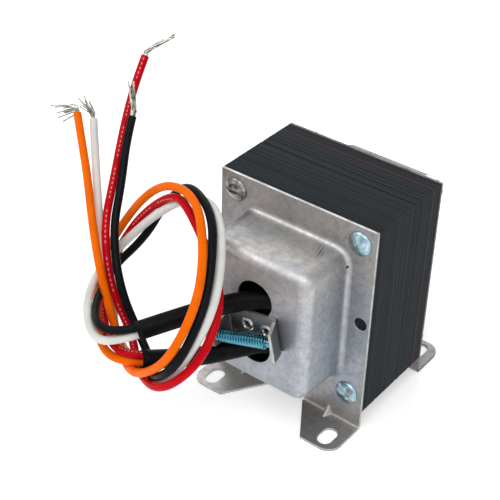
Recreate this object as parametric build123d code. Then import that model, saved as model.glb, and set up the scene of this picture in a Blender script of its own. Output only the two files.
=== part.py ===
from build123d import *
from math import radians, tan
import os

# Chassis transformer: laminated core between two pressed end bells, four flying leads.
# Lengths are in millimetres. X runs across the front, Y into the depth, Z up.
# The origin is on the bench, under the middle of the transformer without its leads.

# Core: E and I laminations in two groups, turned end for end
tongue_height = 25.4
limb_height = 12.7
window_height = 12.7
window_length = 38.1
yoke_width = 12.7
stack_depth = 38.1
front_group_depth = 24.9
group_gap = 0.25
lamination_pitch = 1.15
groove_width = 0.25
groove_depth = 0.2

# End bells: flange, drawn dome and bent feet in one sheet
sheet = 1.0
dome_side_overlap = 2.75
dome_end_overlap = 1.5
dome_depth = 22.8
dome_corner = 5.5
dome_edge = 4.0
dome_draft = 2.8
root_radius = 2.0
side_hole_diameter = 5.0
side_hole_margin = 3.5
foot_width = 24.0
foot_tip_width = 13.8
foot_length = 17.8
foot_drop = 8.0
foot_corner = 5.5
foot_inner_corner = 1.5
bend_radius = 1.0
slot_width = 5.4
slot_length = 8.6
slot_inset = 6.35
slot_reach = 11.4
gusset_inset = 13.2
gusset_leg = 3.8
gusset_width = 4.4
gusset_round = 0.5

# Lead outlets in the front bell
outlet_diameter = 14.0
outlet_pitch = 19.2

# Core bolts, lock washers and nuts
bolt_inset = 6.35
bolt_diameter = 4.17
bolt_hole_diameter = 4.6
bolt_head_diameter = 8.8
bolt_head_height = 2.2
bolt_head_edge = 0.5
driver_slot_width = 1.2
driver_slot_depth = 1.1
washer_diameter = 7.4
washer_thickness = 1.0
washer_split = 0.8
nut_across_flats = 8.7
nut_height = 3.2
nut_chamfer = 0.5
thread_clearance = 0.05
bolt_tail = 1.6

# Clamp on the dome: U bracket, two eyelets and a screw that leans across it
clamp_tilt = 13.0
clamp_width = 21.0
clamp_thickness = 1.2
clamp_bend = 0.6
clamp_top_left = 6.0
clamp_top_right = 3.4
clamp_back_bottom = -4.0
right_ear_bottom = -9.3
left_ear_bottom = -6.3
ear_top = 3.2
ear_top_slope = 20.0
right_ear_reach = 6.5
right_ear_splay = 15.0
left_ear_reach = 10.2
left_ear_splay = 5.0
eyelet_spots = ((-1.9, -0.4), (6.1, -1.5))
eyelet_diameter = 5.1
eyelet_barrel = 3.0
eyelet_bore = 2.1
eyelet_rim = 0.6
eyelet_clearance = 0.05
screw_diameter = 4.7
screw_height = -3.7
screw_stand_off = 5.2
screw_lean = 8.0
screw_clearance = 0.15
screw_point_diameter = 2.8
screw_point_length = 1.8
screw_head_diameter = 7.0
screw_head_height = 2.4
screw_head_round = 1.2

# Coil on its bobbin, built outwards from the tongue
tongue_clearance = 0.3
bobbin_wall = 1.0
bobbin_end_clearance = 0.6
bobbin_lip = 0.6
bobbin_corner = 6.0
primary_build = 4.0
insulation_build = 0.3
secondary_build = 3.7
wrap_build = 0.4
winding_bow = 2.0
layer_clearance = 0.05
first_layer_corner = 0.4

# Leads and sleeves
lead_diameter = 2.8
sleeve_diameter = 6.6
sleeve_wall = 0.3
lead_offset = 1.5
strand_diameter = 1.3
strand_straight = 3.0
bend_share = 0.45

# Routes from the foot of the core's front face: the sleeves, then each lead beyond its sleeve
upper_sleeve_route = [
    (12, -17.5, 47), (2.8, -17.8, 47.1), (-7.7, -28.6, 45.6), (-17.6, -40, 42), (-26.5, -51.5, 38.5),
]
lower_sleeve_route = [
    (12, -17.5, 28.2), (3, -17.8, 28.5), (-6.2, -28.1, 26), (-14.8, -37.5, 24.1), (-25.5, -51, 26.5),
]
black_route = [
    (-29.5, -55.5, 38.8), (-38.5, -58.5, 38.5), (-50, -49, 37), (-62.2, -28.7, 34.3),
    (-55.5, -17, 45), (-49.5, -11.5, 59), (-36.5, -13.5, 74.5), (-18, -23, 75),
    (-7.5, -36, 66.5), (-1.5, -47.5, 57), (-2.5, -59.5, 41), (-15, -57.5, 27.5),
    (-30.3, -43.5, 15.8), (-39.2, -38, 20.6), (-47.6, -37, 37.5), (-59.1, -27.5, 51.5),
    (-65.4, -15.5, 62.6), (-70.5, -6.6, 74.6), (-73, -0.5, 80.5),
]
white_route = [
    (-29.5, -55.5, 35.8), (-38, -60.5, 34), (-51.8, -53.1, 37), (-63, -35.7, 37.5),
    (-58.4, -23, 47.1), (-48, -15.5, 59), (-33, -13.5, 70.5), (-17, -20, 74),
    (-4.5, -35, 63.5), (1, -48, 53.5), (-4.6, -57, 36), (-17, -53.5, 21.5),
    (-28.5, -48, 15), (-46.5, -43, 17), (-53, -35.5, 33.5), (-62.5, -30, 49),
    (-71, -22, 60), (-82.5, -10.5, 69), (-88.5, -4.5, 75.5),
]
red_route = [
    (-29, -55, 28.7), (-38.5, -52.5, 28.7), (-54, -42, 25), (-64.8, -25.6, 35.1),
    (-60.7, -15.2, 50.2), (-43.5, -15, 67.5), (-31.5, -19.5, 70), (-13, -28.5, 59),
    (-0.5, -39.5, 55.5), (3, -53.5, 42.5), (-8.5, -61.5, 28), (-29.2, -52.1, 18.9),
    (-42.5, -37.9, 18.5), (-51.5, -37.5, 36), (-61, -30, 53), (-69.3, -15.1, 63.2),
    (-76, -2, 76), (-81.5, 10.5, 86.5), (-83, 18, 94),
]
orange_route = [
    (-29, -55, 25.7), (-38.5, -56.2, 26.7), (-50.5, -48.5, 29), (-64, -34, 36.5),
    (-66.6, -19.2, 45.4), (-55.5, -14.5, 62.5), (-41, -16.5, 73.5), (-25, -22, 76),
    (-10.5, -36.5, 69.5), (-2.5, -49.5, 60.5), (-5, -60, 43.5), (-17.5, -58, 29),
    (-29.8, -54.3, 20.6), (-43.3, -43.6, 19.8), (-54, -39, 40), (-64.5, -31.5, 53.5),
    (-76, -21.5, 64.5), (-86.5, -13, 71.5), (-94.5, -6.5, 76.5),
]
black_strand_tip = (-76.5, 3, 93)
white_strand_tip = (-96.5, -1.5, 80)
red_strand_tip = (-77, 27, 100)
orange_strand_tip = (-105, -7, 76)

# Worked out from the driving sizes
core_width = window_length + 2 * yoke_width
core_height = tongue_height + 2 * window_height + 2 * limb_height
rear_group_depth = stack_depth - front_group_depth - group_gap
dome_width = window_length + 2 * dome_side_overlap
dome_height = tongue_height + 2 * window_height + 2 * dome_end_overlap
core_front = (left_ear_reach - stack_depth) / 2
core_back = core_front + stack_depth
core_middle_y = core_front + stack_depth / 2
core_middle_z = foot_drop + core_height / 2
bolt_x = core_width / 2 - bolt_inset
bolt_y = core_height / 2 - bolt_inset
bolt_spots = [(-bolt_x, -bolt_y), (bolt_x, -bolt_y), (bolt_x, bolt_y)]
slotted_bolt_spot = (-bolt_x, bolt_y)
grip_length = stack_depth + 2 * sheet
bolt_length = grip_length + washer_thickness + nut_height + bolt_tail
lead_datum = Vector(0, core_front, foot_drop)

# Local frames on the core's faces: x to the viewer's right, y up, z outwards
front_face = Plane(origin=(0, core_front, core_middle_z), x_dir=(1, 0, 0), z_dir=(0, -1, 0))
rear_face = Plane(origin=(0, core_back, core_middle_z), x_dir=(-1, 0, 0), z_dir=(0, 1, 0))
clamp_seat = Pos(0, 0, dome_depth) * Rot(0, 0, clamp_tilt)


def e_outline():
    """E lamination seen from outside: yoke on the left, three legs to the right."""
    outline = Rectangle(core_width - yoke_width, core_height)
    window_offset = (tongue_height + window_height) / 2
    window = Rectangle(window_length, window_height)
    window_x = yoke_width / 2
    for side in (-1, 1):
        outline -= Pos(window_x, side * window_offset) * window
    return Pos(-yoke_width / 2, 0) * outline


def i_outline():
    """I lamination seen from outside: a plain bar that closes the legs on the right."""
    return Pos((core_width - yoke_width) / 2, 0) * Rectangle(yoke_width, core_height)


def lamination_group(outline, depth):
    """Stack of one lamination shape below the face plane, with a fine groove at each pitch."""
    stack = extrude(outline, -depth)
    for spot in bolt_spots + [slotted_bolt_spot]:
        stack -= Pos(*spot) * extrude(Circle(bolt_hole_diameter / 2), -depth)
    core_outline = Rectangle(core_width, core_height)
    grooved_outline = Rectangle(core_width - 2 * groove_depth, core_height - 2 * groove_depth)
    ring = extrude(core_outline - grooved_outline, -groove_width)
    groove_count = int(depth / lamination_pitch) - 1
    first_groove = (depth - (groove_count - 1) * lamination_pitch) / 2
    for number in range(groove_count):
        stack -= Pos(0, 0, groove_width / 2 - first_groove - number * lamination_pitch) * ring
    return stack


def dome_form(width, height, corner, depth, edge):
    """Drafted, round-cornered block that stands on the face plane."""
    block = extrude(RectangleRounded(width, height, corner), depth, taper=dome_draft)
    return fillet(block.faces().sort_by(Axis.Z)[-1].edges(), edge)


def dome_shell():
    """Flange and drawn dome of one sheet, with rounded root and mouth."""
    cover = extrude(Rectangle(core_width, core_height), sheet)
    cover += dome_form(dome_width, dome_height, dome_corner, dome_depth, dome_edge)
    flange_edges = cover.faces().filter_by(Axis.Z).sort_by(Axis.Z)[1].inner_wires().edges()
    cover = fillet(flange_edges, root_radius)
    cover -= dome_form(
        dome_width - 2 * sheet,
        dome_height - 2 * sheet,
        dome_corner - sheet,
        dome_depth - sheet,
        dome_edge - sheet,
    )
    mouth_edges = cover.faces().sort_by(Axis.Z)[0].inner_wires().edges()
    return fillet(mouth_edges, root_radius + sheet)


def foot():
    """Right-hand foot: a tab below the flange, bent outwards, with a slot and a pressed gusset."""
    outer = core_width / 2
    inner = outer - foot_width
    tip_inner = outer - foot_tip_width
    root = -core_height / 2
    underside = root - foot_drop
    upper_side = underside + sheet
    bend_end = sheet + bend_radius
    fold = [
        (root, 0),
        (underside, 0),
        (underside, foot_length),
        (upper_side, foot_length),
        (upper_side, sheet),
        (root, sheet),
    ]
    fold = make_face(Polyline(*fold, close=True))
    fold = fillet(fold.vertices().sort_by_distance((underside, 0))[0], bend_radius + sheet)
    fold = fillet(fold.vertices().sort_by_distance((upper_side, sheet))[0], bend_radius)
    strip = extrude(Plane.YZ.offset(inner) * fold, foot_width)
    plan = [(inner, 0), (outer, 0), (outer, foot_length), (tip_inner, foot_length), (inner, bend_end)]
    plan = make_face(Polyline(*plan, close=True))
    plan = fillet(plan.vertices().sort_by_distance((outer, foot_length))[0], foot_corner)
    plan = fillet(plan.vertices().sort_by_distance((tip_inner, foot_length))[0], foot_inner_corner)
    plan -= Pos(outer - slot_inset, slot_reach) * Rot(0, 0, 90) * SlotOverall(slot_length, slot_width)
    trimmed = strip & extrude(Plane.XZ.offset(-root) * plan, foot_drop)
    return trimmed + Pos(outer - gusset_inset, upper_side, sheet) * gusset()


def gusset():
    """Pressed dart across the bend: a narrow ridge that widens into its root."""
    buried = sheet / 2
    corners = [
        (-buried, -buried),
        (gusset_leg, -buried),
        (gusset_leg, 0),
        (0, gusset_leg),
        (-buried, gusset_leg),
    ]
    side = make_face(Polyline(*corners, close=True))
    block = extrude(Plane.YZ * side, gusset_width / 2, both=True)
    ridge_height = gusset_leg / 2 ** 0.5
    along_ridge = Plane(origin=(0, 0, 0), x_dir=(1, 0, 0), z_dir=(0, 1, -1))
    tent = make_face(
        Polyline((0, -ridge_height), (gusset_width / 2, buried), (-gusset_width / 2, buried), close=True)
    )
    tent = fillet(tent.vertices().sort_by_distance((0, -ridge_height))[0], gusset_round)
    return block & extrude(along_ridge * tent, 2 * gusset_leg, both=True)


def end_bell():
    """End bell with its feet, bolt holes and side holes, before any lead outlets."""
    bell = dome_shell()
    right_foot = foot()
    bell += right_foot
    bell += mirror(right_foot, Plane.YZ)
    for spot in bolt_spots + [slotted_bolt_spot]:
        bell -= Pos(*spot) * extrude(Circle(bolt_hole_diameter / 2), sheet)
    for side in (-1, 1):
        spot = Pos(side * (core_width / 2 - side_hole_margin), 0)
        bell -= spot * extrude(Circle(side_hole_diameter / 2), sheet)
    return bell


def outlet_cuts():
    """Round lead outlets through the dome's front, one above the other."""
    drill = extrude(Circle(outlet_diameter / 2), sheet)
    cuts = Part()
    for side in (-1, 1):
        cuts += Pos(0, side * outlet_pitch / 2, dome_depth - sheet) * drill
    return cuts


def eyelet_cuts(through):
    """Holes for the eyelets, in the clamp's own frame, down through a thickness."""
    radius = eyelet_barrel / 2 + eyelet_clearance
    cuts = Part()
    for spot in eyelet_spots:
        cuts += Pos(*spot) * extrude(Circle(radius), through, both=True)
    return cuts


def core_bolt(slotted):
    """Bolt with its head's seat on the face plane and its shank below it."""
    radius = bolt_head_diameter / 2
    rise = bolt_head_height - bolt_head_edge
    crown_radius = (radius ** 2 + rise ** 2) / (2 * rise)
    head = extrude(Circle(radius), bolt_head_height)
    head &= Pos(0, 0, bolt_head_height - crown_radius) * Sphere(crown_radius)
    if slotted:
        slot_z = bolt_head_height - driver_slot_depth / 2
        head -= Pos(0, 0, slot_z) * Box(bolt_head_diameter, driver_slot_width, driver_slot_depth)
    return head + extrude(Circle(bolt_diameter / 2), -bolt_length)


def lock_washer():
    """Split ring on the face plane."""
    ring = Circle(washer_diameter / 2) - Circle(bolt_diameter / 2 + thread_clearance)
    ring -= Pos(washer_diameter / 2, 0) * Rectangle(washer_diameter, washer_split)
    return extrude(ring, washer_thickness)


def hex_nut():
    """Hexagon nut on the face plane, chamfered at its outer end."""
    body = extrude(RegularPolygon(nut_across_flats / 2, 6, major_radius=False), nut_height)
    crown_radius = nut_across_flats / 2 + nut_chamfer
    crown = chamfer(
        extrude(Circle(crown_radius), nut_height).edges().sort_by(Axis.Z)[-1],
        nut_chamfer,
    )
    return body & crown - extrude(Circle(bolt_diameter / 2 + thread_clearance), nut_height)


def knockout_clamp():
    """U bracket on the dome: a short back, and two ears that splay outwards and hang below it."""
    half = clamp_width / 2
    inside = clamp_thickness
    right_tip = half + right_ear_reach * tan(radians(right_ear_splay))
    left_tip = -half - left_ear_reach * tan(radians(left_ear_splay))
    corners = [
        (-half, 0),
        (half, 0),
        (right_tip, right_ear_reach),
        (right_tip - inside, right_ear_reach),
        (half - inside, inside),
        (inside - half, inside),
        (left_tip + inside, left_ear_reach),
        (left_tip, left_ear_reach),
    ]
    profile = make_face(Polyline(*corners, close=True))
    for side in (-1, 1):
        outer_corner = profile.vertices().sort_by_distance((side * half, 0))[0]
        profile = fillet(outer_corner, clamp_bend + clamp_thickness)
        inner_corner = profile.vertices().sort_by_distance((side * (half - inside), inside))[0]
        profile = fillet(inner_corner, clamp_bend)
    bracket = extrude(Plane.XZ * profile, clamp_width, both=True)
    outline = make_face(
        Polyline(
            (left_tip, left_ear_bottom),
            (right_tip, right_ear_bottom),
            (right_tip, clamp_top_right),
            (left_tip, clamp_top_left),
            close=True,
        )
    )
    bracket &= extrude(outline, left_ear_reach)
    above_ears = make_face(
        Polyline(
            (ear_top, inside),
            (ear_top - left_ear_reach * tan(radians(ear_top_slope)), inside + left_ear_reach),
            (clamp_width, inside + left_ear_reach),
            (clamp_width, inside),
            close=True,
        )
    )
    bracket -= extrude(Plane.YZ * above_ears, clamp_width, both=True)
    window_width = clamp_width - 2 * (clamp_thickness + clamp_bend)
    window_drop = clamp_back_bottom - right_ear_bottom
    window = Rectangle(window_width, window_drop, align=(Align.CENTER, Align.MAX))
    bracket -= Pos(0, clamp_back_bottom) * extrude(window, inside)
    bracket -= eyelet_cuts(clamp_thickness)
    screw_hole = extrude(Circle(screw_diameter / 2 + screw_clearance), -clamp_width)
    return bracket - screw_axis() * screw_hole


def screw_axis():
    """Frame of the clamp screw: its z runs across the clamp to the right, leaning in to the dome."""
    return Pos(0, screw_height, screw_stand_off) * Rot(0, 90 + screw_lean, 0)


def clamp_screw():
    """Pan-headed screw through the left ear, its narrow point close to the right ear."""
    half = clamp_width / 2
    lean = tan(radians(screw_lean))
    stretch = (1 + lean ** 2) ** 0.5
    left_slope = tan(radians(left_ear_splay))
    left_face = (half + left_slope * screw_stand_off) / (1 - left_slope * lean)
    head_tilt = tan(radians(left_ear_splay + screw_lean))
    head_seat = -left_face * stretch - head_tilt * screw_head_diameter / 2 - screw_clearance
    right_slope = tan(radians(right_ear_splay))
    right_face = (half - clamp_thickness + right_slope * screw_stand_off) / (1 + right_slope * lean)
    point_tilt = tan(radians(right_ear_splay - screw_lean))
    point_end = right_face * stretch - point_tilt * screw_point_diameter / 2 - 2 * screw_clearance
    thread_end = point_end - screw_point_length
    shank = extrude(Circle(screw_diameter / 2), thread_end - head_seat)
    shank += extrude(Circle(screw_point_diameter / 2), point_end - head_seat)
    head = extrude(Circle(screw_head_diameter / 2), -screw_head_height)
    head = fillet(head.edges().sort_by(Axis.Z)[0], screw_head_round)
    return screw_axis() * Pos(0, 0, head_seat) * (head + shank)


def clamp_eyelet():
    """Eyelet rolled over the clamp's back and over the inside of the dome."""
    grip = clamp_thickness + sheet
    rim = Circle(eyelet_diameter / 2)
    body = Pos(0, 0, clamp_thickness) * extrude(rim, eyelet_rim)
    body = fillet(body.edges().sort_by(Axis.Z)[-1], eyelet_rim / 2)
    body += Pos(0, 0, -sheet) * extrude(Circle(eyelet_barrel / 2), grip)
    body += Pos(0, 0, -sheet) * extrude(rim, -eyelet_rim)
    bore = extrude(Circle(eyelet_bore / 2), grip + 2 * eyelet_rim)
    return body - Pos(0, 0, -sheet - eyelet_rim) * bore


def loop_section(build, bow, corner):
    """Round-cornered outline about the tongue, a build away from it and bowed out in Y."""
    depth = stack_depth + 2 * (build + bow)
    height = tongue_height + 2 * build
    return RectangleRounded(depth, height, corner + build)


def around_tongue(section, length):
    """Section carried along the tongue, centred in the windows."""
    along_tongue = Plane(origin=(0, core_middle_y, core_middle_z), x_dir=(0, 1, 0), z_dir=(1, 0, 0))
    return extrude(along_tongue * section, length / 2, both=True)


def coil_pieces():
    """Bobbin and the wound layers on it, each as a closed loop about the tongue."""
    bobbin_length = window_length - 2 * bobbin_end_clearance
    layer_length = bobbin_length - 2 * bobbin_wall - 2 * layer_clearance
    layers = (
        ("primary_winding", primary_build),
        ("winding_insulation", insulation_build),
        ("secondary_winding", secondary_build),
        ("coil_wrap", wrap_build),
    )
    pieces = {}
    build = tongue_clearance + bobbin_wall
    bow = 0
    tube = loop_section(build, bow, first_layer_corner)
    for name, thickness in layers:
        hollow = loop_section(build + layer_clearance, bow, first_layer_corner)
        build += layer_clearance + thickness
        bow = winding_bow
        pieces[name] = around_tongue(loop_section(build, bow, first_layer_corner) - hollow, layer_length)
    bore = loop_section(tongue_clearance, 0, first_layer_corner)
    flange_depth = stack_depth + 2 * (build + winding_bow + bobbin_lip)
    flange_height = tongue_height + 2 * (build + bobbin_lip)
    flange = RectangleRounded(flange_depth, flange_height, bobbin_corner)
    bobbin = around_tongue(tube, bobbin_length)
    flange_x = (bobbin_length - bobbin_wall) / 2
    for side in (-1, 1):
        bobbin += Pos(side * flange_x, 0, 0) * around_tongue(flange, bobbin_wall)
    pieces["bobbin"] = bobbin - around_tongue(bore, bobbin_length)
    return pieces


def cord_path(name, points):
    """Straight runs joined by tangent arcs, each as large as its two runs allow."""
    points = [Vector(point) + lead_datum for point in points]
    radii = []
    for before, corner, after in zip(points, points[1:], points[2:]):
        run_in = corner - before
        run_out = after - corner
        half_turn = radians(run_in.get_angle(run_out)) / 2
        radii.append(bend_share * min(run_in.length, run_out.length) / tan(half_turn))
    path = FilletPolyline(*points, radius=radii)
    print(name, "length", round(path.length, 1), "radii", [round(radius, 1) for radius in radii])
    return path


def swept(path, section):
    """Section carried along a cord's path."""
    return sweep(Plane(origin=path @ 0, z_dir=path % 0) * section, path=path)


def beside(route, offset):
    """Part of a sleeve's route, without its end, moved up or down to one of its two leads."""
    return [(x, y, z + offset) for x, y, z in route[:-1]]


def strand_route(lead_route, tip):
    """Bare strands: straight out of the lead's end, then towards their tip."""
    end = Vector(lead_route[-1])
    along = (end - Vector(lead_route[-2])).normalized()
    return [end, end + along * strand_straight, tip]


os.makedirs("parts", exist_ok=True)
nodes = coil_pieces()

front_i = lamination_group(i_outline(), front_group_depth)
front_e = lamination_group(e_outline(), front_group_depth)
rear_i = lamination_group(i_outline(), rear_group_depth)
rear_e = lamination_group(e_outline(), rear_group_depth)
nodes["front_e_laminations"] = front_face * front_e
nodes["front_i_laminations"] = front_face * front_i
nodes["rear_e_laminations"] = rear_face * rear_e
nodes["rear_i_laminations"] = rear_face * rear_i

plain_bell = end_bell()
front_bell = plain_bell - outlet_cuts()
front_bell -= clamp_seat * eyelet_cuts(sheet)
nodes["front_end_bell"] = front_face * front_bell
nodes["rear_end_bell"] = rear_face * plain_bell

on_flange = Pos(0, 0, sheet)
domed_bolts = [front_face * on_flange * Pos(*spot) * core_bolt(False) for spot in bolt_spots]
nodes["domed_bolts"] = Compound(children=domed_bolts)
nodes["slotted_bolt"] = front_face * on_flange * Pos(*slotted_bolt_spot) * core_bolt(True)
nut_spots = [Pos(*spot) for spot in bolt_spots + [slotted_bolt_spot]]
on_washer = on_flange * Pos(0, 0, washer_thickness)
washers = [rear_face * on_flange * spot * lock_washer() for spot in nut_spots]
nodes["lock_washers"] = Compound(children=washers)
nuts = [rear_face * on_washer * spot * hex_nut() for spot in nut_spots]
nodes["hex_nuts"] = Compound(children=nuts)

nodes["knockout_clamp"] = front_face * clamp_seat * knockout_clamp()
nodes["clamp_screw"] = front_face * clamp_seat * clamp_screw()
eyelets = [front_face * clamp_seat * Pos(*spot) * clamp_eyelet() for spot in eyelet_spots]
nodes["clamp_eyelets"] = Compound(children=eyelets)

sleeve_section = Circle(sleeve_diameter / 2) - Circle(sleeve_diameter / 2 - sleeve_wall)
nodes["upper_lead_sleeve"] = swept(cord_path("upper_lead_sleeve", upper_sleeve_route), sleeve_section)
nodes["lower_lead_sleeve"] = swept(cord_path("lower_lead_sleeve", lower_sleeve_route), sleeve_section)

leads = (
    ("black", upper_sleeve_route, lead_offset, black_route, black_strand_tip),
    ("white", upper_sleeve_route, -lead_offset, white_route, white_strand_tip),
    ("red", lower_sleeve_route, lead_offset, red_route, red_strand_tip),
    ("orange", lower_sleeve_route, -lead_offset, orange_route, orange_strand_tip),
)
for colour, sleeve_route, offset, free_route, strand_tip in leads:
    route = beside(sleeve_route, offset) + free_route
    nodes[colour + "_lead"] = swept(cord_path(colour + "_lead", route), Circle(lead_diameter / 2))
    strands = strand_route(free_route, strand_tip)
    nodes[colour + "_strands"] = swept(cord_path(colour + "_strands", strands), Circle(strand_diameter / 2))

for name, shape in nodes.items():
    export_step(shape, "parts/" + name + ".step")
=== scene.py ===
import math
import random
import bmesh
import bpy
from mathutils import Matrix, Vector


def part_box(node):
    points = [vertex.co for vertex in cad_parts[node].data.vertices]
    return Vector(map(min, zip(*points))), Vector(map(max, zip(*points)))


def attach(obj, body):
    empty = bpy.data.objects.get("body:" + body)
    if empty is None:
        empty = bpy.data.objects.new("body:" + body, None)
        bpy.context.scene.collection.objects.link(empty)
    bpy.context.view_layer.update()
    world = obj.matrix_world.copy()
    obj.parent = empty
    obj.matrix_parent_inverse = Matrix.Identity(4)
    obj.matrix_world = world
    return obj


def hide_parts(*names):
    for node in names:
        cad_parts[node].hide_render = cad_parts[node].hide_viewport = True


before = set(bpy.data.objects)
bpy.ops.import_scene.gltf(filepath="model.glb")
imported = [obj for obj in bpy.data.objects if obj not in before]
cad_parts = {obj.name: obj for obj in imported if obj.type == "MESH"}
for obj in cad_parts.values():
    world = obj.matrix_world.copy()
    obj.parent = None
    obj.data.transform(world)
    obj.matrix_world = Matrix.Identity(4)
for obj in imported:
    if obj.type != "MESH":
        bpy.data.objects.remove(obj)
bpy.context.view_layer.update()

# Chassis transformer: laminated core, two pressed bells, a clamp and four sleeved leads.
# Lengths are in metres, and MM turns millimetres into them.
MM = 0.001
BODY = "root"
SEED = 7

# Camera: eye point, viewing axes and lens of the photograph
CAMERA_EYE = Vector((197.84, -306.06, 312.06)) * MM
CAMERA_RIGHT = Vector((0.7909, 0.6114, 0.0259))
CAMERA_UP = Vector((-0.3700, 0.4442, 0.8160))
CAMERA_BACK = Vector((0.4874, -0.6549, 0.5775))
CAMERA_LENS = 91.68
SENSOR_WIDTH = 36.0
CAMERA_NEAR = 10 * MM

# Studio: lamps as name, place, size and power, all aimed at one point, then the surround and the floor
LAMP_AIM = Vector((0, 0, 0.05))
LAMPS = (
    ("key_lamp", (0.17, -0.55, 0.94), 0.8, 5.0),
    ("left_lamp", (-0.56, -0.42, 0.88), 0.5, 1.7),
    ("back_lamp", (-0.64, 0.85, 0.80), 0.7, 2.6),
    ("side_lamp", (0.95, -0.25, 0.55), 0.6, 0.8),
)
SURROUND_LIGHT = 0.45
FLOOR_SIZE = 3.0
FLOOR_TONE = 0.9
FLOOR_GLOW = 0.45

# Edges of pressed and turned pieces, and the width of a cut edge as a share of its sheet's thickness
WELD = 0.002 * MM
FLAT_ANGLE = math.radians(0.6)
SHARP_ANGLE = math.radians(38)
EDGE_SEGMENTS = 2
FLAT_WEIGHT = 80
RIM_NARROWEST = 0.8
RIM_WIDEST = 1.2
BELL_SHEET = 1.0 * MM
BELL_EDGE = 0.14 * MM
CLAMP_SHEET = 1.2 * MM
CLAMP_EDGE = 0.25 * MM
SLOTTED_BOLT_EDGE = 0.10 * MM
WASHER_EDGE = 0.08 * MM
NUT_EDGE = 0.12 * MM

# Finish of the pressed sheet: where it turns browner, up from the foot and down from the top, and the bands
# that carry a painted highlight, in millimetres from the core's front face and from the dome's front
BROWN_DRIFT = 12 * MM
BROWN_UPPER = (45 * MM, 6 * MM)
BROWN_LOWER = (10 * MM, 18 * MM)
ROOT_HIGHLIGHT_BAND = (-4.0, -2.6, -1.6, -1.15)
RIM_HIGHLIGHT_BAND = (0.05, 0.8, 2.6, 5.0)
PAINTED_HIGHLIGHT = 0.28

# Laminations, stacked in pairs: outline, air between sheets, the wide line's place as a share of the front
# group's sheets, how far in the floor of the grooves lies, and how much chance moves each sheet
TONGUE_HEIGHT = 25.4 * MM
WINDOW_HEIGHT = 12.7 * MM
YOKE_WIDTH = 12.7 * MM
SHEET_PITCH = 0.5 * MM
SHEET_AIR = 0.04 * MM
PAIR_AIR = 0.30 * MM
PAIR_AIR_BACK = 0.04 * MM
GROUP_AIR = 0.55 * MM
GROUP_LINE = 0.86
GROOVE_ABOVE = 0.6 * MM
GROOVE_BESIDE = 0.1 * MM
SHEET_SHIFT = 0.06 * MM
AIR_SPREAD = (0.7, 1.2)
ACROSS_SPREAD = 0.5
UPWARD_SPREAD = 0.7

# Marks on the front bell: scratches in millimetres as place across, middle, reach and half width, found
# only near the bell's top, and a pit
SCRATCH_SLANT = 0.22
SCRATCHES = ((8.4, -20.2, 3.4, 0.16), (9.5, -21.0, 4.4, 0.26), (10.5, -21.6, 3.0, 0.14))
SCRATCH_DOWN_TO = 14 * MM
SCRATCH_STRENGTH = 0.75
PIT = Vector((21.9, -16.0, 67.5)) * MM
PIT_INNER = 0.45 * MM
PIT_OUTER = 0.75 * MM

# Clamp screw: middle and direction of its axis, and distances along it from the middle
SCREW_MIDDLE = Vector((0.832, -41.95, 42.495)) * MM
SCREW_AXIS = Vector((0.9649, 0.1392, 0.2228))
SCREW_SEAT = -12.16 * MM
SCREW_END = 9.93 * MM
SCREW_HEAD_RADIUS = 3.5 * MM
SCREW_HEAD_HEIGHT = 2.4 * MM
SCREW_POINT_RADIUS = 1.4 * MM
SCREW_POINT_LENGTH = 1.8 * MM
THREAD_RADIUS = 2.35 * MM
THREAD_ROOT = 1.7 * MM
THREAD_PITCH = 1.06 * MM
THREAD_CREST = (0.42, 0.58)
SCREW_RELIEF = 0.2 * MM
SCREW_CHAMFER = 0.3 * MM

# Turned pieces: steps round the axis, and the turn that points an upright axis out of the front
TURN_STEPS = 40
FORWARD = Matrix.Rotation(math.pi / 2, 4, "X")

# Core bolts: places across and up in millimetres, head and shank, with the crown part of a sphere that is
# drawn at shares of the head's radius
BOLT_SPOTS = ((-25.4, 14.35), (25.4, 14.35), (25.4, 77.85))
BOLT_SEAT = 1.0 * MM
BOLT_HEAD_RADIUS = 4.4 * MM
BOLT_HEAD_HEIGHT = 2.2 * MM
BOLT_HEAD_EDGE = 0.35 * MM
BOLT_CROWN = 6.54 * MM
CROWN_SHARES = (0.97, 0.90, 0.80, 0.68, 0.54, 0.38, 0.20, 0.0)
BOLT_RADIUS = 2.08 * MM
BOLT_LENGTH = 45.9 * MM

# Eyelets: places across and up in millimetres, and the depth of the clamp's outer face
EYELET_SPOTS = ((-1.76, 45.28), (6.28, 46.01))
EYELET_FACE = -37.95 * MM
EYELET_RADIUS = 2.55 * MM
EYELET_BORE = 1.3 * MM
EYELET_RIM = 0.6 * MM
EYELET_GRIP = 2.2 * MM
EYELET_WALL = 0.15 * MM

# Leads and sleeves, with a lead's offset in its sleeve in millimetres, and the fineness of their curves
LEAD_RADIUS = 1.48 * MM
LEAD_OFFSET = 1.5
SLEEVE_RADIUS = 3.3 * MM
SLEEVE_WALL = 0.3 * MM
CURVE_STEPS = 10
LEAD_SIDES = 6
SLEEVE_SIDES = 8
STRAND_SIDES = 1

# Print on the red lead: number of dashes, place and half width as shares of half a turn, inked share of each
# dash and of each run of dashes, dashes in a run, and the ink
RED_PRINT = (230, 0.28, 0.045)
DASH_SHARE = 0.5
RUN_SHARE = 0.78
DASHES_IN_RUN = 9
INK_STRENGTH = 0.36
INK_COLOUR = (0.80, 0.72, 0.70)
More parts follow.
